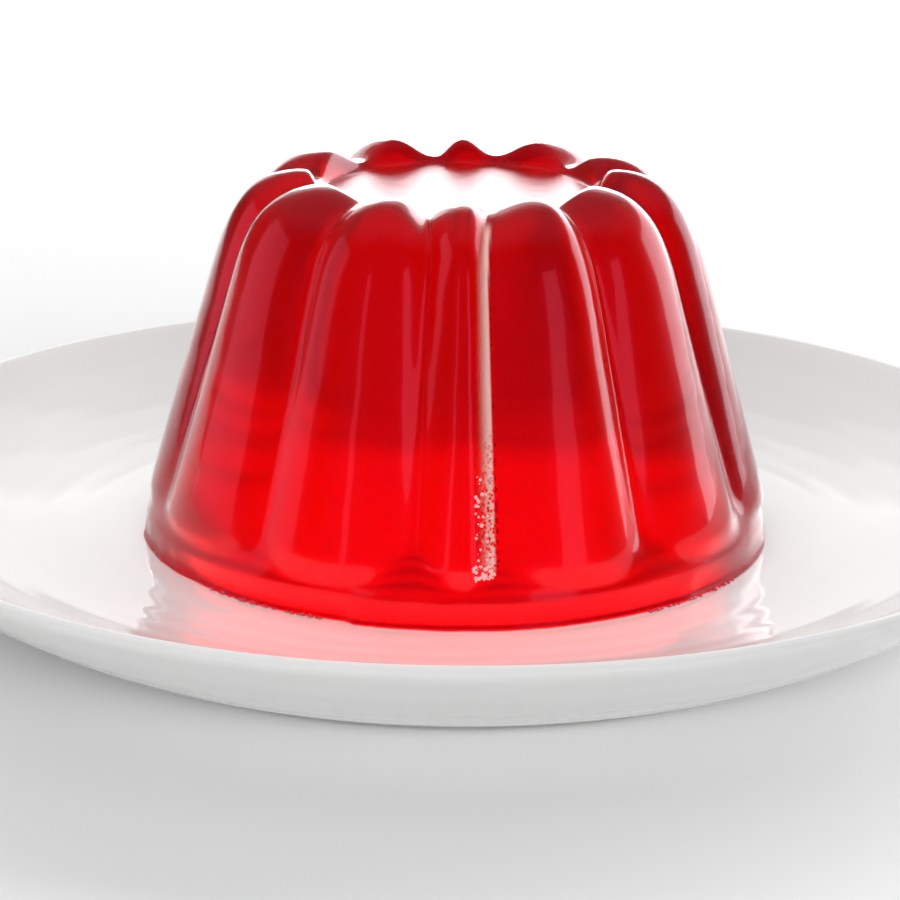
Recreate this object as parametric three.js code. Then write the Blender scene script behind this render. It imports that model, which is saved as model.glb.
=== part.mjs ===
// A moulded one-pint jelly turned out on its white porcelain plate.
//
// Millimetres, +Z up. The origin is the middle of the plate's foot, on the table.
// +X is to the right and -Y is the front. Two solids: "plate" and "jelly", which sits on the
// flat floor of the plate.
import * as THREE from "three";
import { mergeVertices } from "three/addons/utils/BufferGeometryUtils.js";

// ---------------------------------------------------------------- driving dimensions
// Plate
const RIM_RADIUS = 120; // outermost edge of the plate
const RIM_HEIGHT = 27; // top of the lip above the table
const LIP_THICKNESS = 3.4;
const LIP_ROUNDING = 0.5; // how far the lip's inner and outer corners drop
const FLOOR_HEIGHT = 12; // level that the jelly stands on
const FLOOR_RADIUS = 66; // the dish starts to rise here
const DISH_HANDLE_RADIUS = 97.5; // the further out, the later the dish curls up
const UNDER_LIP_HANDLE = { inward: 9, down: 12 }; // fullness of the outside below the lip
const ABOVE_FOOT_HANDLE = { outward: 17, up: 5 }; // and above the foot
const FOOT_RADIUS = 76.5; // outside of the foot, at the table
const FOOT_LAND = 3; // width of the ring that touches the table
const FOOT_HOLLOW = 7; // height of the underside inside the foot
const FOOT_FILLET = 5; // width of the curve from the land up to that underside

// Jelly, measured up from the plate's floor
const BASE_RADIUS = 61.5; // widest point, just above the plate
const BASE_EDGE = 0.3; // rounding of the bottom edge
const NECK_HEIGHT = 1.6; // the base has spread a little below this
const NECK_RADIUS = 60.7;
const COLLAR_HEIGHT = 5.2; // plain band under the ribs
const COLLAR_RADIUS = 60.6; // top of that band
const RIB_FOOT_HEIGHT = 9.5; // where a rib has its full depth
const RIB_FOOT_RADIUS = 60.5;
const SHOULDER_HEIGHT = 55; // where the ribs start to round over
const SHOULDER_RADIUS = 47.4;
const JELLY_HEIGHT = 72.8; // top of the ribs' crests
const CREST_RADIUS = 29.7; // circle on which the crests reach their top
const RECESS_RADIUS = 25.5; // sunken flat middle of the crown
const RECESS_DROP = 5.05; // its depth below the crests
const RECESS_FILLET = 1.4; // curve at the foot of its wall

// The ribs swing between two outlines, one along a crest and one along a groove. Each states
// what it takes off the sizes above, the corner that its lower end bends round, and the handles
// that set how full its shoulder is: up the side, in along the top, and over the edge of the
// recess.
const CREST = {
  inset: 0,
  footLift: 0,
  toe: { radius: 59.9, height: 6.8 },
  topDrop: 0,
  topInset: 0,
  handles: { up: 12.5, in: 9.8, over: 2.2 },
};
const GROOVE = {
  inset: 5.2, // depth on the sides
  footLift: 3.5, // a groove ends higher up than a rib does
  toe: { radius: 57.2, height: 8.3 },
  topDrop: 3.8, // depth on the crown
  topInset: 1.7,
  handles: { up: 9.5, in: 7, over: 1 },
};

// Ribs, counter-clockwise from above, each from its first groove. Angles are in degrees from
// the front (-Y), at the foot and at the crown. "filled" is how far that groove is filled up,
// "crest" where the crest lies between this groove and the next, "height" how far the rib
// stands out, and "flatness" the power of its arc: 2 is a parabola and more has a flatter top.
const RIBS = [
  { foot: -7.5, crown: -10.8, filled: 0, crest: 0.62, height: 0.88, flatness: 1.5 },
  { foot: 7.3, crown: 10.6, filled: 0.3, crest: 0.62, height: 0.98, flatness: 2.3 },
  { foot: 36.8, crown: 39, filled: 0.1, crest: 0.6, height: 0.98, flatness: 2.5 },
  { foot: 69.5, crown: 70.5, filled: 0.1, crest: 0.5, height: 1.12, flatness: 2.5 },
  { foot: 97, crown: 98.5, filled: 0.05, crest: 0.46, height: 1, flatness: 2.5 },
  { foot: 128, crown: 129.5, filled: 0, crest: 0.5, height: 1, flatness: 2.5 },
  { foot: 163.5, crown: 165.5, filled: 0.1, crest: 0.55, height: 0.9, flatness: 2.2 },
  { foot: 188, crown: 189.5, filled: 0, crest: 0.5, height: 1, flatness: 2.5 },
  { foot: 221, crown: 223, filled: 0.05, crest: 0.48, height: 1, flatness: 2.5 },
  { foot: 257.5, crown: 259.5, filled: 0, crest: 0.52, height: 0.96, flatness: 2.4 },
  { foot: 287, crown: 289.5, filled: 0.3, crest: 0.42, height: 1, flatness: 2.4 },
  { foot: 322, crown: 323, filled: 0.35, crest: 0.48, height: 0.96, flatness: 2.6 },
];
const PINCH_START_RADIUS = 44; // inside this the ribs' arcs get narrower,
const PINCH_FRONT = 0.5; // a little at the front
const PINCH_BACK = 2; // and more at the back

// Faceting
const COLUMNS_PER_RIB = 10;
const NECK_STEPS = 2;
const RIB_END_STEPS = 3;
const SIDE_STEPS = 5;
const SHOULDER_STEPS = 7;
const RECESS_STEPS = 4;
const PLATE_SECTORS = 84;
const DISH_STEPS = 8;
const OUTSIDE_STEPS = 9;
const FOOT_STEPS = 3;

// ---------------------------------------------------------------- materials
const porcelain = new THREE.MeshStandardMaterial({
  color: 0xf4f4f2,
  roughness: 0.12,
  metalness: 0,
});
const redJelly = new THREE.MeshStandardMaterial({
  color: 0xc4000d,
  roughness: 0.08,
  metalness: 0,
});

// ---------------------------------------------------------------- outlines (radius, height)
const { degToRad, lerp, smoothstep } = THREE.MathUtils;
const at = (radius, height) => new THREE.Vector2(radius, height);

// Adds the points of a curve to an outline, without its first point.
function append(outline, curve, steps) {
  outline.push(...curve.getPoints(steps).slice(1));
}

// One side of the jelly, from the bottom edge to the recess, along a crest or a groove. Both
// have the same number of points.
function jellyOutline({ inset, footLift, toe, topDrop, topInset, handles }) {
  const neck = at(NECK_RADIUS, NECK_HEIGHT);
  const underNeck = at(NECK_RADIUS, NECK_HEIGHT / 2);
  const collarTop = at(COLLAR_RADIUS, COLLAR_HEIGHT);
  const corner = at(toe.radius, toe.height);
  const ribFoot = at(RIB_FOOT_RADIUS - inset, RIB_FOOT_HEIGHT + footLift);
  const shoulder = at(SHOULDER_RADIUS - inset, SHOULDER_HEIGHT);
  const top = at(CREST_RADIUS - topInset, JELLY_HEIGHT - topDrop);
  const recessEdge = at(RECESS_RADIUS, JELLY_HEIGHT - RECESS_DROP);
  const lean = (RIB_FOOT_RADIUS - SHOULDER_RADIUS) / (SHOULDER_HEIGHT - RIB_FOOT_HEIGHT);
  const upSide = at(shoulder.x - lean * handles.up, shoulder.y + handles.up);
  const alongTop = at(top.x + handles.in, top.y);
  const overEdge = at(top.x - handles.over, top.y);
  const recessFoot = at(RECESS_RADIUS + RECESS_FILLET, recessEdge.y);

  const outline = [at(BASE_RADIUS - BASE_EDGE, 0), at(BASE_RADIUS, BASE_EDGE)];
  append(outline, new THREE.QuadraticBezierCurve(outline.at(-1), underNeck, neck), NECK_STEPS);
  outline.push(collarTop);
  append(outline, new THREE.QuadraticBezierCurve(collarTop, corner, ribFoot), RIB_END_STEPS);
  append(outline, new THREE.LineCurve(ribFoot, shoulder), SIDE_STEPS);
  append(outline, new THREE.CubicBezierCurve(shoulder, upSide, alongTop, top), SHOULDER_STEPS);
  append(outline, new THREE.CubicBezierCurve(top, overEdge, recessFoot, recessEdge), RECESS_STEPS);
  return outline;
}

// The whole section of the plate, from the middle of its floor over the lip and round the foot
// to the middle of its underside.
function plateOutline() {
  const floorEdge = at(FLOOR_RADIUS, FLOOR_HEIGHT);
  const dishHandle = at(DISH_HANDLE_RADIUS, FLOOR_HEIGHT);
  const lipInner = at(RIM_RADIUS - LIP_THICKNESS + LIP_ROUNDING, RIM_HEIGHT - LIP_ROUNDING);
  const lipTop = at(RIM_RADIUS - LIP_THICKNESS / 2, RIM_HEIGHT);
  const lipCorner = at(RIM_RADIUS - LIP_ROUNDING, RIM_HEIGHT - LIP_ROUNDING);
  const lipOuter = at(RIM_RADIUS, RIM_HEIGHT - LIP_THICKNESS / 2);
  const underLip = at(RIM_RADIUS - UNDER_LIP_HANDLE.inward, RIM_HEIGHT - UNDER_LIP_HANDLE.down);
  const aboveFoot = at(FOOT_RADIUS + ABOVE_FOOT_HANDLE.outward, ABOVE_FOOT_HANDLE.up);
  const foot = at(FOOT_RADIUS, 0);
  const landEdge = at(FOOT_RADIUS - FOOT_LAND, 0);
  const filletCorner = at(landEdge.x - FOOT_FILLET / 3, FOOT_HOLLOW);
  const underside = at(landEdge.x - FOOT_FILLET, FOOT_HOLLOW);

  const outline = [at(0, FLOOR_HEIGHT), floorEdge];
  append(outline, new THREE.QuadraticBezierCurve(floorEdge, dishHandle, lipInner), DISH_STEPS);
  outline.push(lipTop, lipCorner, lipOuter);
  append(outline, new THREE.CubicBezierCurve(lipOuter, underLip, aboveFoot, foot), OUTSIDE_STEPS);
  outline.push(landEdge);
  append(outline, new THREE.QuadraticBezierCurve(landEdge, filletCorner, underside), FOOT_STEPS);
  outline.push(at(0, FOOT_HOLLOW));
  return outline;
}

// ---------------------------------------------------------------- ribs
// One entry for each column of points round the jelly: its angle at the foot and at the crown,
// the levels it swings between (0 on the groove's outline, 1 on the crest's), and how high it
// lies on its rib's arc. Columns crowd towards the grooves, where the arc is steepest.
function ribColumns() {
  return RIBS.flatMap((rib, i) => {
    const next = RIBS[(i + 1) % RIBS.length];
    const turn = i + 1 === RIBS.length ? 360 : 0;
    return Array.from({ length: COLUMNS_PER_RIB }, (_, column) => {
      const crowded = -Math.cos((Math.PI * column) / COLUMNS_PER_RIB);
      const even = -1 + (2 * column) / COLUMNS_PER_RIB;
      const across = (crowded + even) / 2;
      const share = across < 0 ? rib.crest * (1 + across) : lerp(rib.crest, 1, across);
      return {
        foot: degToRad(lerp(rib.foot, next.foot + turn, share)),
        crown: degToRad(lerp(rib.crown, next.crown + turn, share)),
        low: across < 0 ? rib.filled : next.filled,
        high: rib.height,
        rise: 1 - Math.abs(across) ** rib.flatness,
      };
    });
  });
}

// ---------------------------------------------------------------- solids
// Closed surface from rings of equal length, each a list of points, with both ends capped by a
// fan. Rings run upwards and points counter-clockwise, so faces point out.
function solidFromRings(rings) {
  const count = rings[0].length;
  const positions = [];
  const index = [];
  for (const ring of rings) {
    for (const point of ring) positions.push(point.x, point.y, point.z);
  }
  for (let r = 0; r + 1 < rings.length; r += 1) {
    for (let i = 0; i < count; i += 1) {
      const next = (i + 1) % count;
      const [a, b] = [r * count + i, r * count + next];
      const [c, d] = [a + count, b + count];
      index.push(a, b, d, a, d, c);
    }
  }
  const ends = [
    { ring: 0, flip: true },
    { ring: rings.length - 1, flip: false },
  ];
  for (const { ring, flip } of ends) {
    const centre = positions.length / 3;
    positions.push(0, 0, rings[ring][0].z);
    for (let i = 0; i < count; i += 1) {
      const a = ring * count + i;
      const b = ring * count + ((i + 1) % count);
      if (flip) index.push(centre, b, a);
      else index.push(centre, a, b);
    }
  }
  const geometry = new THREE.BufferGeometry();
  geometry.setAttribute("position", new THREE.Float32BufferAttribute(positions, 3));
  geometry.setIndex(index);
  geometry.computeVertexNormals();
  return geometry;
}

function jellyGeometry() {
  const crest = jellyOutline(CREST);
  const groove = jellyOutline(GROOVE);
  const columns = ribColumns();
  const rings = crest.map((onCrest, i) => {
    const inside = smoothstep(-onCrest.x, -PINCH_START_RADIUS, -CREST_RADIUS);
    return columns.map(({ foot, crown, low, high, rise }) => {
      const angle = lerp(foot, crown, inside);
      const pinch = inside * lerp(PINCH_FRONT, PINCH_BACK, (1 - Math.cos(angle)) / 2);
      const bulge = lerp(low, high, rise ** (1 + pinch));
      const radius = lerp(groove[i].x, onCrest.x, bulge);
      const height = lerp(groove[i].y, onCrest.y, bulge);
      return new THREE.Vector3(radius * Math.sin(angle), -radius * Math.cos(angle), height);
    });
  });
  return solidFromRings(rings);
}

function plateGeometry() {
  // A lathe turns its profile round Y; tipping it up brings that axis to Z.
  const lathe = new THREE.LatheGeometry(plateOutline().reverse(), PLATE_SECTORS);
  lathe.rotateX(Math.PI / 2);
  lathe.deleteAttribute("normal");
  lathe.deleteAttribute("uv");
  const geometry = mergeVertices(lathe, 1e-4);
  geometry.computeVertexNormals();
  return geometry;
}

// ---------------------------------------------------------------- the object
const dessert = new THREE.Group();

const plate = new THREE.Mesh(plateGeometry(), porcelain);
plate.name = "plate";
dessert.add(plate);

const jelly = new THREE.Mesh(jellyGeometry(), redJelly);
jelly.name = "jelly";
jelly.position.z = FLOOR_HEIGHT;
dessert.add(jelly);

export default dessert;
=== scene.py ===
"""A red fruit jelly with rounded ribs, turned out of its mould onto a white porcelain plate.

Everything is in metres, +Z up, with the middle of the plate's foot at the origin. The jelly
stands on the plate's flat floor; -Y is the front and +X is to the right.
"""

import math
import random

import bmesh
import bpy
from mathutils import Matrix, Vector, noise


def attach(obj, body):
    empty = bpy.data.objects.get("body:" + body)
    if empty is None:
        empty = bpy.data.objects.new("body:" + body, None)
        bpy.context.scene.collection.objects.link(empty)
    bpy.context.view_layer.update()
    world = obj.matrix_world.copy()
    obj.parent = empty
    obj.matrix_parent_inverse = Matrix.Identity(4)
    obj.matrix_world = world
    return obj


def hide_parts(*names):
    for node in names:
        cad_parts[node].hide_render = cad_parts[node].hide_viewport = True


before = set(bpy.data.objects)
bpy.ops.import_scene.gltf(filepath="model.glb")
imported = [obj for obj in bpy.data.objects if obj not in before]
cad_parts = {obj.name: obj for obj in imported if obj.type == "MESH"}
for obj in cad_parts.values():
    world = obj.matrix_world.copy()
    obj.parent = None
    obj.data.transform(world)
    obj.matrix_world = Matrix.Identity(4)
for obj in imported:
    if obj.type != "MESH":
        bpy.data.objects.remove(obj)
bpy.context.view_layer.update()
bpy.ops.object.select_all(action="DESELECT")

# ---------------------------------------------------------------- camera
# A long lens at arm's length, looking down on the plate, and not quite level, as a camera in
# the hand is.
CAMERA_PLACE = (0.0, -0.6233, 0.2162)
CAMERA_DOWN_DEG = 16.82
CAMERA_LEFT_DEG = 0.10
CAMERA_ROLL_DEG = 0.58
CAMERA_LENS_MM = 132.1
CAMERA_SENSOR_MM = 36.0

turned = (
    Matrix.Rotation(math.radians(CAMERA_LEFT_DEG), 3, "Z")
    @ Matrix.Rotation(math.radians(90 - CAMERA_DOWN_DEG), 3, "X")
    @ Matrix.Rotation(math.radians(CAMERA_ROLL_DEG), 3, "Z")
)
bpy.ops.object.camera_add(location=CAMERA_PLACE, rotation=turned.to_euler())
camera = bpy.context.object
camera.name = "camera"
camera.data.lens = CAMERA_LENS_MM
camera.data.sensor_width = CAMERA_SENSOR_MM
camera.data.clip_start = 0.01
bpy.context.scene.camera = camera

# ---------------------------------------------------------------- studio
# A white table that runs on as the background, in a dim room. Soft panels light it from above,
# behind and in front, and cards and windows of light show in what is glossy.
FLOOR_SIZE = 6.0
ROOM_LIGHT = 0.03
PANEL_AIM = (0.0, 0.0, 0.05)
# Each panel: its place, width, height and radiance, the finishes that it shows in, and the pieces
# that it lights.
PANELS = {
    "back_card": ((0.0, 1.7, 0.54), 0.76, 0.64, 5.8, "glossy", "jelly"),
    "back_wall": ((0.3, 1.9, 0.35), 2.6, 0.8, 1.35, "glossy", "all"),
    "back_wall_above": ((0.3, 1.9, 0.9), 2.6, 0.3, 0.95, "glossy", "all"),
    "back_wall_top": ((0.3, 1.85, 1.25), 2.6, 0.4, 0.5, "glossy", "all"),
    "right_wall": ((1.25, 1.15, 0.45), 2.2, 1.2, 3.2, "glossy", "all"),
    "left_window": ((-1.6, 0.1, 0.5), 1.15, 1.2, 1.25, "glossy", "jelly"),
    "left_strip": ((-0.95, -1.41, 0.5), 0.16, 1.0, 1.3, "glossy", "jelly"),
    "front_window": ((1.0, -1.3, 0.5), 0.45, 1.0, 1.6, "glossy", "jelly"),
    "dim_room": ((0.0, -2.4, 0.9), 6.0, 3.0, 0.055, "glossy", "jelly"),
    "glow_back": ((0.1, 1.72, 0.38), 2.2, 0.75, 4.0, "clear", "all"),
    "ceiling": ((0.0, 0.9, 2.2), 5.0, 4.5, 1.05, "matte and clear", "dish"),
    "dish_back": ((0.0, 0.9, 0.9), 3.0, 0.6, 1.2, "matte", "dish"),
    "dish_front": ((-0.3, -2.0, 1.2), 3.0, 2.0, 1.9, "matte", "dish"),
    "table_above": ((0.0, 0.9, 2.2), 5.0, 4.5, 0.7, "matte", "table"),
    "table_back": ((0.5, 1.6, 0.8), 4.0, 0.8, 4.5, "matte", "table"),
    "table_front": ((0.3, -1.8, 0.6), 3.0, 0.7, 8.3, "matte", "table"),
}
PANEL_TINTS = {
    "left_window": (1.0, 0.3, 0.43),
    "left_strip": (1.0, 0.3, 0.43),
    "front_window": (1.0, 0.3, 0.43),
    "dim_room": (0.6, 0.25, 1.0),
}


class Shade:
    """One socket of a material's nodes, written as a value in sums and products."""

    def __init__(self, tree, socket=None):
        self.tree = tree
        self.socket = socket

    def node(self, kind, output=0, settings=None, **inputs):
        """Adds a node, with its settings first and then the values or links of its inputs, and
        gives back one of its outputs. An input is given by name, or as _2 by its number."""
        made = self.tree.nodes.new(kind)
        for name, value in (settings or {}).items():
            setattr(made, name, value)
        for name, value in inputs.items():
            key = int(name[1:]) if name[0] == "_" else name.replace("_", " ")
            if isinstance(value, Shade):
                self.tree.links.new(value.socket, made.inputs[key])
            else:
                made.inputs[key].default_value = value
        return Shade(self.tree, made.outputs[output])

    def feed(self, shader, name):
        """Links this value to a named input of a shader."""
        self.tree.links.new(self.socket, shader.inputs[name])

    def maths(self, operation, first, second=0.0):
        """One Math node on values or Shades."""
        return self.node("ShaderNodeMath", 0, {"operation": operation}, _0=first, _1=second)

    def __add__(self, other):
        return self.maths("ADD", self, other)

    __radd__ = __add__

    def __mul__(self, other):
        return self.maths("MULTIPLY", self, other)

    __rmul__ = __mul__

    def __sub__(self, other):
        return self.maths("SUBTRACT", self, other)

    def __rsub__(self, other):
        return self.maths("SUBTRACT", other, self)

    def rise(self, start, end, interpolation="LINEAR"):
        """Goes from 0 to 1 while this value goes from start to end."""
        return self.node(
            "ShaderNodeMapRange", 0, {"interpolation_type": interpolation},
            Value=self, From_Min=start, From_Max=end,
        )

    def blend(self, first, second):
        """The first colour where this value is 0 and the second where it is 1."""
        return self.node("ShaderNodeMix", 2, {"data_type": "RGBA"}, _0=self, _6=first, _7=second)

    def split(self):
        """The three numbers of a place, each as a Shade."""
        made = self.node("ShaderNodeSeparateXYZ", Vector=self).socket.node
        return [Shade(self.tree, socket) for socket in made.outputs]


def material(name, colour, roughness, **constants):
    """A material with one Principled shader, and a Shade that its nodes are made with."""
    made = bpy.data.materials.new(name)
    made.use_nodes = True
    shader = made.node_tree.nodes["Principled BSDF"]
    shader.inputs["Base Color"].default_value = (*colour, 1)
    shader.inputs["Roughness"].default_value = roughness
    for key, value in constants.items():
        shader.inputs[key.replace("_", " ")].default_value = value
    return made, shader, Shade(made.node_tree)


table_white, _, _ = material("table_white", (0.86, 0.86, 0.86), 0.6)
bpy.ops.mesh.primitive_plane_add(size=FLOOR_SIZE)
table_top = bpy.context.object
table_top.name = "table_top"
table_top.data.materials.append(table_white)

for name, (place, width, height, radiance, finishes, _) in PANELS.items():
    bpy.ops.object.light_add(type="AREA", location=place)
    panel = bpy.context.object
    panel.name = name
    panel.data.shape = "RECTANGLE"
    panel.data.size = width
    panel.data.size_y = height
    panel.data.energy = radiance * math.pi * width * height
    panel.data.color = PANEL_TINTS.get(name, (1, 1, 1))
    panel.visible_diffuse = "matte" in finishes
    panel.visible_glossy = "glossy" in finishes
    panel.visible_transmission = "clear" in finishes
    panel.rotation_euler = (panel.location - Vector(PANEL_AIM)).to_track_quat("Z", "Y").to_euler()

room = bpy.data.worlds.new("room")
room.use_nodes = True
room.node_tree.nodes["Background"].inputs["Color"].default_value = (1, 1, 1, 1)
room.node_tree.nodes["Background"].inputs["Strength"].default_value = ROOM_LIGHT
bpy.context.scene.world = room
bpy.context.scene.view_settings.view_transform = "Standard"

# ---------------------------------------------------------------- plate
# A shallow plate of glazed white porcelain, jiggered in one piece: a flat floor, a wall that
# curls up late to a rounded lip, and a foot ring that is wiped bare before the glaze is fired.
# The bare foot is coloured a dark grey, darker than biscuit is, as painted shade for the contact
# shadow along the plate's foot.
RIM_RADIUS = 0.120
RIM_HEIGHT = 0.027
LIP_THICKNESS = 0.0034
LIP_ROUNDING = 0.0005
FLOOR_HEIGHT = 0.012
FLOOR_RADIUS = 0.066
FLOOR_RINGS = (0.055, 0.064)
WALL_BEND_RADIUS = 0.0975
LIP_BEND_IN = 0.009
LIP_BEND_DOWN = 0.012
FOOT_BEND_OUT = 0.017
FOOT_BEND_UP = 0.005
FOOT_RADIUS = 0.0765
FOOT_LAND = 0.003
FOOT_HOLLOW = 0.007
HOLLOW_FILLET = 0.005
HOLLOW_BEND = 0.0017
PLATE_SIDES = 128
BARE_FOOT = 0.0008
GLAZE_ROUGHNESS = 0.07
MOTTLE_ROUGHNESS = 0.06
BARE_ROUGHNESS = 0.5
GLAZE_COOL = (0.87, 0.875, 0.88, 1)
GLAZE_WARM = (0.89, 0.885, 0.87, 1)
# The bare foot's grey is partly biscuit and partly painted shade, for the plate's contact shadow.
BISCUIT_AND_CONTACT_SHADE = (0.42, 0.41, 0.39, 1)


def curve(handles, steps):
    """Points on a Bezier curve of (radius, height) handles, without the first one."""
    degree = len(handles) - 1
    points = []
    for step in range(1, steps + 1):
        t = step / steps
        shares = [math.comb(degree, k) * t**k * (1 - t) ** (degree - k) for k in range(degree + 1)]
        radius = sum(share * handle[0] for share, handle in zip(shares, handles))
        height = sum(share * handle[1] for share, handle in zip(shares, handles))
        points.append((radius, height))
    return points


def turn(name, outline, sides):
    """Turns an outline of (radius, height) points round the axis and leaves the piece in edit
    mode, open at both ends."""
    radius, height = outline[0]
    bpy.ops.mesh.primitive_circle_add(
        vertices=sides, radius=radius, location=(0, 0, height), fill_type="NOTHING"
    )
    piece = bpy.context.object
    piece.name = name
    bpy.ops.object.transform_apply(location=True)
    bpy.ops.object.mode_set(mode="EDIT")
    bpy.ops.mesh.select_mode(type="VERT")
    bpy.ops.mesh.select_all(action="SELECT")
    for next_radius, next_height in outline[1:]:
        step = (0, 0, next_height - height)
        bpy.ops.mesh.extrude_edges_move(TRANSFORM_OT_translate={"value": step})
        grow = next_radius / radius
        bpy.ops.transform.resize(value=(grow, grow, 1), center_override=(0, 0, 0))
        radius, height = next_radius, next_height
    return piece


def close_ends(piece, sides):
    """Fills the last and the first ring of a turned piece and points all its faces outwards."""
    for ring in (slice(-sides, None), slice(sides)):
        cage = bmesh.from_edit_mesh(piece.data)
        cage.verts.ensure_lookup_table()
        bpy.ops.mesh.select_all(action="DESELECT")
        for vertex in cage.verts[ring]:
            vertex.select = True
        cage.select_flush_mode()
        bpy.ops.mesh.fill_grid(span=sides // 4)
    bpy.ops.mesh.select_all(action="SELECT")
    bpy.ops.mesh.normals_make_consistent(inside=False)
    bpy.ops.object.mode_set(mode="OBJECT")


def round_off(piece, levels):
    """Smooths a turned piece with a Subdivision Surface and applies it."""
    bpy.ops.object.shade_smooth()
    rounding = piece.modifiers.new("rounding", "SUBSURF")
    rounding.levels = rounding.render_levels = levels
    bpy.ops.object.modifier_apply(modifier=rounding.name)


floor_edge = (FLOOR_RADIUS, FLOOR_HEIGHT)
wall_bend = (WALL_BEND_RADIUS, FLOOR_HEIGHT)
lip_inner = (RIM_RADIUS - LIP_THICKNESS + LIP_ROUNDING, RIM_HEIGHT - LIP_ROUNDING)
lip_top = (RIM_RADIUS - LIP_THICKNESS / 2, RIM_HEIGHT)
lip_corner = (RIM_RADIUS - LIP_ROUNDING, RIM_HEIGHT - LIP_ROUNDING)
lip_outer = (RIM_RADIUS, RIM_HEIGHT - LIP_THICKNESS / 2)
lip_bend = (RIM_RADIUS - LIP_BEND_IN, RIM_HEIGHT - LIP_BEND_DOWN)
foot_bend = (FOOT_RADIUS + FOOT_BEND_OUT, FOOT_BEND_UP)
foot_outer = (FOOT_RADIUS, 0.0)
foot_inner = (FOOT_RADIUS - FOOT_LAND, 0.0)
hollow_bend = (foot_inner[0] - HOLLOW_BEND, FOOT_HOLLOW)
hollow_edge = (foot_inner[0] - HOLLOW_FILLET, FOOT_HOLLOW)

plate_outline = [(radius, FLOOR_HEIGHT) for radius in FLOOR_RINGS]
plate_outline += [floor_edge]
plate_outline += curve([floor_edge, wall_bend, lip_inner], steps=12)
plate_outline += [lip_top, lip_corner, lip_outer]
plate_outline += curve([lip_outer, lip_bend, foot_bend, foot_outer], steps=14)
plate_outline += [foot_inner]
plate_outline += curve([foot_inner, hollow_bend, hollow_edge], steps=5)
plate_outline += [(FLOOR_RINGS[0], FOOT_HOLLOW)]

plate = turn("porcelain_plate", plate_outline, PLATE_SIDES)
close_ends(plate, PLATE_SIDES)
round_off(plate, levels=1)

porcelain, shader, nodes = material("porcelain", (0.88, 0.88, 0.875), 0.1, IOR=1.5)
place = nodes.node("ShaderNodeTexCoord", "Object")
height = place.split()[2]
# Below this height the foot is bare, and coloured dark as painted contact shade.
bare_and_shaded_foot = nodes.maths("LESS_THAN", height, BARE_FOOT)
mottle = nodes.node("ShaderNodeTexNoise", Vector=place, Scale=45.0, Detail=4.0)
jigger_rings = nodes.node(
    "ShaderNodeTexWave", 1, {"wave_type": "RINGS", "rings_direction": "Z"},
    Vector=place, Scale=46.0, Distortion=2.5, Detail=2.0, Detail_Scale=0.6,
)
relief = nodes.node("ShaderNodeBump", Strength=1.0, Distance=0.00005, Height=jigger_rings + mottle)
glaze = mottle.blend(GLAZE_COOL, GLAZE_WARM)
bare_and_shaded_foot.blend(glaze, BISCUIT_AND_CONTACT_SHADE).feed(shader, "Base Color")
roughness = GLAZE_ROUGHNESS + MOTTLE_ROUGHNESS * mottle + BARE_ROUGHNESS * bare_and_shaded_foot
roughness.feed(shader, "Roughness")
relief.feed(shader, "Normal")
plate.data.materials.append(porcelain)
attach(plate, "root")
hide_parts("plate")
plate.select_set(False)

# ---------------------------------------------------------------- jelly
# One pint of clear red fruit jelly. It sets upside down in a ribbed mould and is turned out, so
# the mould's flat top leaves a sunken middle ringed by the ends of twelve uneven ribs.
BASE_RADIUS = 0.0615
BASE_EDGE = 0.0003
NECK_RADIUS = 0.0609
NECK_HEIGHT = 0.0016
COLLAR_RADIUS = 0.0607
COLLAR_HEIGHT = 0.0052
RIB_FOOT_HEIGHT = 0.0095
RIB_FOOT_RADIUS = 0.0605
SHOULDER_HEIGHT = 0.055
SHOULDER_RADIUS = 0.0474
JELLY_HEIGHT = 0.0728
CREST_RADIUS = 0.0297
RECESS_RADIUS = 0.0255
RECESS_DROP = 0.00505
RECESS_FILLET = 0.0014
RECESS_DISH = 0.0005
RECESS_RINGS = (0.93, 0.83, 0.73, 0.63, 0.52, 0.4, 0.25, 0.1)
# What the outline along a crest and the one along a groove take off these sizes, the corner that
# the ribs' lower ends bend round, and how full the shoulder is.
CREST = {
    "inset": 0, "foot_lift": 0, "toe": (0.0596, 0.0066),
    "top_drop": 0, "top_inset": 0, "up": 0.0125, "into": 0.0098, "over": 0.0022,
}
GROOVE = {
    "inset": 0.0052, "foot_lift": 0.0045, "toe": (0.0588, 0.0095),
    "top_drop": 0.0038, "top_inset": 0.0017, "up": 0.0095, "into": 0.007, "over": 0.001,
}
# Each rib: its left groove's angle at the foot and at the crown (degrees from the front), how far
# that groove is filled, where the crest is between it and the next groove, how far the rib stands
# out, and how flat its top is.
RIBS = [
    (-7.5, -10.8, 0.0, 0.62, 0.88, 1.5),
    (7.3, 10.6, 0.3, 0.62, 0.98, 2.3),
    (37.4, 39.4, 0.1, 0.6, 0.98, 2.5),
    (69.5, 70.5, 0.1, 0.5, 1.12, 2.5),
    (97.0, 98.5, 0.05, 0.46, 1.0, 2.5),
    (128.0, 129.5, 0.0, 0.5, 1.0, 2.5),
    (163.5, 165.5, 0.1, 0.55, 0.9, 2.2),
    (188.0, 189.5, 0.0, 0.5, 1.0, 2.5),
    (221.0, 223.0, 0.05, 0.48, 1.0, 2.5),
    (257.5, 259.5, 0.0, 0.52, 0.96, 2.4),
    (287.0, 289.5, 0.3, 0.42, 1.0, 2.4),
    (322.0, 323.0, 0.35, 0.48, 0.96, 2.6),
]
# Columns of faces in each rib.
COLUMNS = 8
# The base is set this far into the plate's floor, so that no light gets in under its edge.
SUNK = 0.0002
# The ribs narrow from here up to the crest, a little in front and more at the back.
PINCH_RADIUS = 0.044
PINCH_FRONT = 0.5
PINCH_BACK = 3.0
CROWN_FLATNESS = 2.3
# The swells that the mould's uneven walls left, and the ripple in the sunken middle: how deep
# they are, and how many there are to a metre.
SWELLS = ((0.00007, 130), (0.000012, 420))
SWELLS_FROM = (0.0002, 0.004)
RIPPLE = (0.00005, 600)
RIPPLE_WALL = 0.024
RIPPLE_MIDDLE = (0.003, 0.008)
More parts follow.
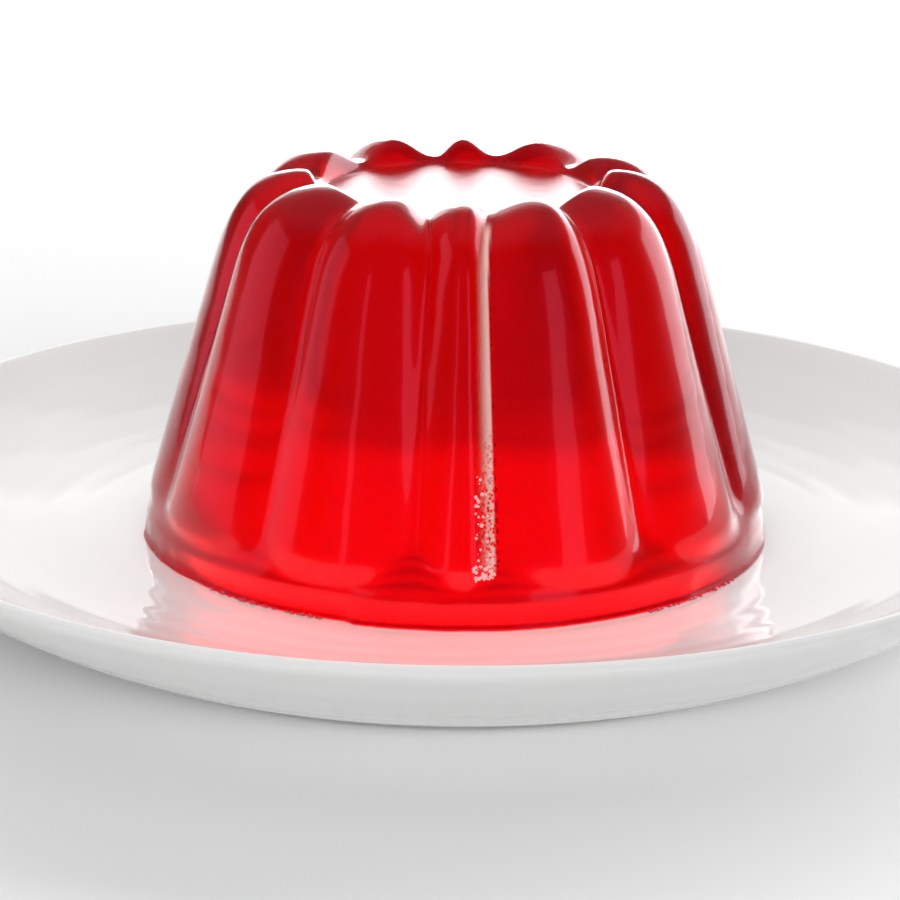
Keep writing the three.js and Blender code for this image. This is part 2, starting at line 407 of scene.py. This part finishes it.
# How far the wet foot wanders and frays, and how closely, below the height where it ends. It is
# drawn in over one stretch at the front left.
FOOT_WANDER = (0.0004, 9)
FOOT_FRAY = (0.00018, 0.9)
FOOT_FROM = (0.0015, 0.006)
FOOT_INNER_RADIUS = 0.0575
DRAWN_IN = 0.0012
DRAWN_IN_DEG = (-80, -35)
LET_OUT_DEG = (-19.5, -17)


def mix(a, b, share):
    return a + (b - a) * share


def smooth(value, low, high):
    """0 up to low, 1 from high on, and an even rise between them."""
    share = min(max((value - low) / (high - low), 0), 1)
    return share * share * (3 - 2 * share)


def jelly_outline(inset, foot_lift, toe, top_drop, top_inset, up, into, over):
    """One side of the jelly, along a crest or along a groove, as (radius, height) points."""
    base_edge = (BASE_RADIUS, BASE_EDGE)
    neck_bend = (NECK_RADIUS, NECK_HEIGHT / 2)
    neck = (NECK_RADIUS, NECK_HEIGHT)
    collar = (COLLAR_RADIUS, COLLAR_HEIGHT)
    rib_foot = (RIB_FOOT_RADIUS - inset, RIB_FOOT_HEIGHT + foot_lift)
    shoulder = (SHOULDER_RADIUS - inset, SHOULDER_HEIGHT)
    lean = (RIB_FOOT_RADIUS - SHOULDER_RADIUS) / (SHOULDER_HEIGHT - RIB_FOOT_HEIGHT)
    up_side = (shoulder[0] - lean * up, shoulder[1] + up)
    top = (CREST_RADIUS - top_inset, JELLY_HEIGHT - top_drop)
    recess_edge = (RECESS_RADIUS, JELLY_HEIGHT - RECESS_DROP)
    recess_bend = (RECESS_RADIUS + RECESS_FILLET, recess_edge[1])
    points = [(BASE_RADIUS - BASE_EDGE, 0), base_edge]
    points += curve([base_edge, neck_bend, neck], steps=2)
    points += [(NECK_RADIUS, (NECK_HEIGHT + COLLAR_HEIGHT) / 2), collar]
    points += curve([collar, toe, rib_foot], steps=4)
    points += curve([rib_foot, shoulder], steps=12)
    points += curve([shoulder, up_side, (top[0] + into, top[1]), top], steps=8)
    points += curve([top, (top[0] - over, top[1]), recess_bend, recess_edge], steps=5)
    for share in RECESS_RINGS:
        points += [(RECESS_RADIUS * share, recess_edge[1] - RECESS_DISH * (1 - share**2))]
    return points


crest_outline = jelly_outline(**CREST)
groove_outline = jelly_outline(**GROOVE)
sides = COLUMNS * len(RIBS)
standing = [(radius, FLOOR_HEIGHT + height) for radius, height in crest_outline]
jelly = turn("red_jelly", standing, sides)
cage = bmesh.from_edit_mesh(jelly.data)
cage.verts.ensure_lookup_table()
rings = [cage.verts[start : start + sides] for start in range(0, sides * len(standing), sides)]

for rib, (foot_deg, crown_deg, fill, crest_share, crest_level, flatness) in enumerate(RIBS):
    next_foot_deg, next_crown_deg, next_fill = RIBS[(rib + 1) % len(RIBS)][:3]
    foot_width = (next_foot_deg - foot_deg) % 360
    crown_width = (next_crown_deg - crown_deg) % 360
    behind = (1 - math.cos(math.radians(foot_deg + foot_width / 2))) / 2
    for column in range(COLUMNS):
        # From -1 at this groove through 0 on the crest to 1 at the next groove, with the columns
        # closer together beside the grooves.
        even = -1 + 2 * column / COLUMNS
        across = (even - math.cos(math.pi * column / COLUMNS)) / 2
        if across < 0:
            share = crest_share * (1 + across)
            low = fill
        else:
            share = crest_share + (1 - crest_share) * across
            low = next_fill
        for ring, on_crest, on_groove in zip(rings, crest_outline, groove_outline):
            inside = smooth(-on_crest[0], -PINCH_RADIUS, -CREST_RADIUS)
            arc = 1 - abs(across) ** mix(flatness, max(flatness, CROWN_FLATNESS), inside)
            rise = arc ** (1 + inside * mix(PINCH_FRONT, PINCH_BACK, behind))
            bulge = mix(low, crest_level, rise)
            on_foot = foot_deg + foot_width * share
            on_crown = crown_deg + crown_width * share
            angle = math.radians(mix(on_foot, on_crown, inside))
            radius = mix(on_groove[0], on_crest[0], bulge)
            height = FLOOR_HEIGHT + mix(on_groove[1], on_crest[1], bulge)
            point = ring[rib * COLUMNS + column]
            point.co = (radius * math.sin(angle), -radius * math.cos(angle), height)
for point in rings[0]:
    point.co.z -= SUNK
bmesh.update_edit_mesh(jelly.data)
close_ends(jelly, sides)
round_off(jelly, levels=2)

# The unevenness goes on last, along the smooth surface's own normals.
outward = [point.normal.copy() for point in jelly.data.vertices]
for point, normal in zip(jelly.data.vertices, outward):
    above = point.co.z - FLOOR_HEIGHT
    away = math.hypot(point.co.x, point.co.y)
    swell = sum(depth * noise.noise(point.co * number) for depth, number in SWELLS)
    ripple = RIPPLE[0] * noise.noise(point.co * RIPPLE[1])
    if above > SWELLS_FROM[0]:
        point.co += normal * swell * smooth(above, *SWELLS_FROM)
    if above > SHOULDER_HEIGHT and away < RECESS_RADIUS:
        from_wall = smooth(-away, -RECESS_RADIUS, -RIPPLE_WALL)
        point.co.z += ripple * from_wall * smooth(away, *RIPPLE_MIDDLE)
    if above < FOOT_FROM[1] and away > FOOT_INNER_RADIUS:
        around = math.atan2(point.co.x, -point.co.y)
        around_deg = math.degrees(around)
        on_circle = Vector((math.sin(around), math.cos(around), 0.5))
        along = Vector((around_deg * FOOT_FRAY[1], 0.0, 0.0))
        wander = FOOT_WANDER[0] * noise.noise(on_circle * FOOT_WANDER[1])
        fray = FOOT_FRAY[0] * noise.noise(along)
        drawn_in = smooth(around_deg, *DRAWN_IN_DEG) - smooth(around_deg, *LET_OUT_DEG)
        change = (wander + fray - DRAWN_IN * drawn_in) * (1 - smooth(above, *FOOT_FROM))
        point.co.x *= 1 + change / away
        point.co.y *= 1 + change / away

# The jelly is clear and takes its colour from the depth that light goes through. Its skin is wet
# but for the sunken middle, which is a little duller, and the foot.
DEPTH_COLOUR = (0.9987, 0.0, 0.4, 1)
DEPTH_DENSITY = 1200.0
SKIN_ROUGHNESS = 0.22
CLOUD_ROUGHNESS = 0.07
RECESS_ROUGHNESS = 0.05
RECESS_INNER_RADIUS = RECESS_RADIUS - 0.0005
FOOT_DRYNESS = 0.8
FOOT_DRY_HEIGHT = COLLAR_HEIGHT + 0.001

jelly_red, shader, nodes = material(
    "jelly_red",
    (1, 1, 1),
    0.26,
    IOR=1.34,
    Specular_Tint=(1.0, 0.45, 0.9, 1),
    Transmission_Weight=1.0,
    Coat_Weight=1.0,
    Coat_Roughness=0.02,
    Coat_IOR=1.34,
)
place = nodes.node("ShaderNodeTexCoord", "Object")
x, y, z = place.split()
from_axis = nodes.maths("SQRT", x * x + y * y)
middle = from_axis.rise(RECESS_RADIUS + RECESS_FILLET, RECESS_INNER_RADIUS, "SMOOTHSTEP")
recess = middle * nodes.maths("GREATER_THAN", z, FLOOR_HEIGHT + SHOULDER_HEIGHT)
foot = z.rise(FLOOR_HEIGHT + FOOT_DRY_HEIGHT, FLOOR_HEIGHT, "SMOOTHSTEP")
cloud = nodes.node("ShaderNodeTexNoise", Vector=place, Scale=90.0, Detail=3.0)
grain = nodes.node("ShaderNodeTexNoise", Vector=place, Scale=1500.0, Detail=2.0)
skin = nodes.node("ShaderNodeBump", Strength=0.4, Distance=0.00001, Height=grain)
depth = nodes.node("ShaderNodeVolumeAbsorption", Color=DEPTH_COLOUR, Density=DEPTH_DENSITY)
roughness = SKIN_ROUGHNESS + CLOUD_ROUGHNESS * cloud + RECESS_ROUGHNESS * recess
(1.0 - recess - FOOT_DRYNESS * foot).feed(shader, "Coat Weight")
roughness.feed(shader, "Roughness")
skin.feed(shader, "Normal")
depth.feed(jelly_red.node_tree.nodes["Material Output"], "Volume")
jelly.data.materials.append(jelly_red)
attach(jelly, "root")
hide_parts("jelly")

# ---------------------------------------------------------------- froth and painted highlight
# A line of pale froth, which one seam of the mould left down the groove beside the front rib, is
# mostly painted highlight: the streak of light that the groove's flank reflects, thinning out to
# the left as that streak does. Towards the foot its cells grow large enough to be seen as froth.
SEAM_RIB = 1
# How far left of the seam the froth and its painted highlight reach and how far they are dense,
# and how they start on the seam's right.
FROTH_HIGHLIGHT_WIDTH_DEG = 3.6
FROTH_HIGHLIGHT_DENSE_DEG = 0.5
FROTH_HIGHLIGHT_LAP_DEG = 0.7
FROTH_HIGHLIGHT_START_DEG = (-0.35, 0.15)
FROTH_HIGHLIGHT_THICKNESS = 0.00005
FROTH_HIGHLIGHT_FOOT = 0.0095
FROTH_HIGHLIGHT_FOOT_FADE = 0.002
FROTH_HIGHLIGHT_TOP_RADIUS = 0.033
FROTH_HIGHLIGHT_TOP_FADE = 0.004
FROTH_OPEN_CELLS = (0.25, 0.6)
FROTH_BUBBLY_HEIGHTS = (0.05, 0.036)


def beside_seam(place):
    """How far a place is to the left of the seam, in degrees round the jelly."""
    seam_foot_deg, seam_crown_deg = RIBS[SEAM_RIB][:2]
    away = math.hypot(place.x, place.y)
    inside = smooth(-away, -PINCH_RADIUS, -CREST_RADIUS)
    seam_deg = mix(seam_foot_deg, seam_crown_deg, inside)
    return seam_deg - math.degrees(math.atan2(place.x, -place.y))


bpy.ops.object.mode_set(mode="EDIT")
bpy.ops.mesh.select_mode(type="FACE")
bpy.ops.mesh.select_all(action="DESELECT")
bpy.ops.object.mode_set(mode="OBJECT")
for face in jelly.data.polygons:
    left = beside_seam(face.center)
    low = face.center.z - FLOOR_HEIGHT < FROTH_HIGHLIGHT_FOOT
    near_top = math.hypot(face.center.x, face.center.y) < FROTH_HIGHLIGHT_TOP_RADIUS
    face.select = -FROTH_HIGHLIGHT_LAP_DEG < left < FROTH_HIGHLIGHT_WIDTH_DEG and not low and not near_top
bpy.ops.object.mode_set(mode="EDIT")
bpy.ops.mesh.duplicate()
bpy.ops.mesh.separate(type="SELECTED")
bpy.ops.object.mode_set(mode="OBJECT")
froth = next(piece for piece in bpy.context.selected_objects if piece != jelly)
bpy.ops.object.select_all(action="DESELECT")
froth.select_set(True)
bpy.context.view_layer.objects.active = froth
froth.name = "froth"
body = froth.modifiers.new("body", "SOLIDIFY")
body.thickness = FROTH_HIGHLIGHT_THICKNESS
body.offset = 1.0
bpy.ops.object.modifier_apply(modifier=body.name)

# The strip's cover fades to the left like the reflected streak of light that it paints.
cover = froth.data.attributes.new("froth", "FLOAT", "POINT")
for point in froth.data.vertices:
    left = beside_seam(point.co)
    away = math.hypot(point.co.x, point.co.y)
    above = point.co.z - FLOOR_HEIGHT
    from_top = smooth(away, FROTH_HIGHLIGHT_TOP_RADIUS, FROTH_HIGHLIGHT_TOP_RADIUS + FROTH_HIGHLIGHT_TOP_FADE)
    from_foot = smooth(above, FROTH_HIGHLIGHT_FOOT, FROTH_HIGHLIGHT_FOOT + FROTH_HIGHLIGHT_FOOT_FADE)
    from_left = smooth(-left, -FROTH_HIGHLIGHT_WIDTH_DEG, -FROTH_HIGHLIGHT_DENSE_DEG) ** 2
    from_right = smooth(left, *FROTH_HIGHLIGHT_START_DEG)
    cover.data[point.index].value = from_top * from_foot * from_left * from_right

# The strip's pale pink is painted highlight, a sheet standing for a reflection, and froth near the
# foot.
froth_highlight_white, shader, nodes = material("froth_highlight_white", (1.0, 0.55, 0.5), 0.4)
covered = nodes.node("ShaderNodeAttribute", "Fac", {"attribute_name": "froth"})
place = nodes.node("ShaderNodeTexCoord", "Object")
height = place.split()[2]
cells = nodes.node("ShaderNodeTexVoronoi", "Distance", Vector=place, Scale=1300.0)
open_cells = cells.rise(*FROTH_OPEN_CELLS)
bubbly = height.rise(*FROTH_BUBBLY_HEIGHTS)
(covered * (1.0 - bubbly * (1.0 - open_cells))).feed(shader, "Alpha")
froth.data.materials.clear()
froth.data.materials.append(froth_highlight_white)
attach(froth, "root")
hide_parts("jelly")

# ---------------------------------------------------------------- bubbles
# Bigger bubbles of the froth, burst or whole, cling to the lower half of the same seam and
# gather where it ends. They glow faintly pink: painted light for the glints that they catch.
BUBBLE_COUNT = 70
BUBBLE_TOP = 0.042
BUBBLE_NEAREST_DEG = 0.2
BUBBLE_LOWEST_OF = 12
BUBBLE_SIZES = (0.00012, 0.00042)
BUBBLE_STRAY_DEG = 0.5
BUBBLE_STRAY = 0.0004


def join(pieces, name):
    """Makes one smooth object of these pieces, with its place in its mesh."""
    for piece in pieces:
        piece.select_set(True)
    bpy.ops.object.join()
    joined = bpy.context.object
    bpy.ops.object.transform_apply(location=True, scale=True)
    bpy.ops.object.shade_smooth()
    joined.name = name
    return joined


rng = random.Random(7)
spots = []
for point in froth.data.vertices:
    low_in_front = point.normal.y < 0 and point.co.z < BUBBLE_TOP
    if low_in_front and BUBBLE_NEAREST_DEG < beside_seam(point.co) < FROTH_HIGHLIGHT_WIDTH_DEG:
        spots.append(point.co.copy())
spots.sort(key=tuple)
bpy.ops.object.select_all(action="DESELECT")
films = []
for count in range(BUBBLE_COUNT):
    if count % 3:
        spot = rng.choice(spots)
    else:
        spot = min(rng.sample(spots, BUBBLE_LOWEST_OF), key=lambda co: co.z)
    size = rng.uniform(*BUBBLE_SIZES)
    stray_deg = rng.uniform(-BUBBLE_STRAY_DEG, BUBBLE_STRAY_DEG)
    place = Matrix.Rotation(math.radians(stray_deg), 3, "Z") @ spot
    place.z += rng.uniform(-BUBBLE_STRAY, BUBBLE_STRAY)
    bpy.ops.mesh.primitive_ico_sphere_add(subdivisions=2, radius=size, location=place)
    films.append(bpy.context.object)
bubbles = join(films, "bubbles")
# The film's faint pink emission is a painted glow, for highlights on the bubbles.
glowing_bubble_film, _, _ = material(
    "glowing_bubble_film",
    (1.0, 0.6, 0.58),
    0.15,
    Alpha=0.7,
    Emission_Color=(1.0, 0.35, 0.35, 1),
    Emission_Strength=0.3,
)
bubbles.data.materials.append(glowing_bubble_film)
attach(bubbles, "root")
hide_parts("jelly")

# ---------------------------------------------------------------- syrup beads
# The jelly has begun to weep: small beads of its own syrup stand along the front of its foot,
# flattened by their weight where they rest on the glaze.
BEAD_FLATNESS = 0.7
# In sizes of the bead itself: how far it stands off the ring, and how high its middle is.
BEAD_STRAY_IN = 0.6
BEAD_STRAY_OUT = 0.4
BEAD_RISE = 0.5
# Each stretch of beads: from and to (degrees from the front), how many there are, how far out,
# and their least and greatest size.
BEAD_STRETCHES = [
    (-50.0, -20.0, 34, 0.0603, 0.00025, 0.0006),
    (36.0, 60.0, 34, 0.0614, 0.0002, 0.0005),
]

bpy.ops.object.select_all(action="DESELECT")
drops = []
for start_deg, end_deg, number, ring_radius, least, greatest in BEAD_STRETCHES:
    for _ in range(number):
        around = math.radians(rng.uniform(start_deg, end_deg))
        size = rng.uniform(least, greatest)
        away = ring_radius + rng.uniform(-BEAD_STRAY_IN, BEAD_STRAY_OUT) * size
        height = FLOOR_HEIGHT + BEAD_RISE * size
        place = (away * math.sin(around), -away * math.cos(around), height)
        bpy.ops.mesh.primitive_uv_sphere_add(
            segments=16, ring_count=10, radius=size, location=place
        )
        bpy.ops.transform.resize(value=(1, 1, BEAD_FLATNESS))
        drops.append(bpy.context.object)
beads = join(drops, "syrup_beads")
syrup, _, _ = material("syrup", (0.9, 0.05, 0.08), 0.12, Coat_Weight=1.0, Coat_Roughness=0.03)
beads.data.materials.append(syrup)
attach(beads, "root")
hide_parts("jelly")

# ---------------------------------------------------------------- what each panel lights
# The table takes its light from low panels in front and behind, which reach under the plate's
# rim, and the narrow panels show in the jelly's reflections alone.
lit = {
    "jelly": [jelly, beads],
    "dish": [plate, jelly, froth, bubbles, beads],
    "table": [table_top],
}
for group, pieces in lit.items():
    receivers = bpy.data.collections.new(group)
    for piece in pieces:
        receivers.objects.link(piece)
    for name, (*_, lights) in PANELS.items():
        if lights == group:
            bpy.data.objects[name].light_linking.receiver_collection = receivers
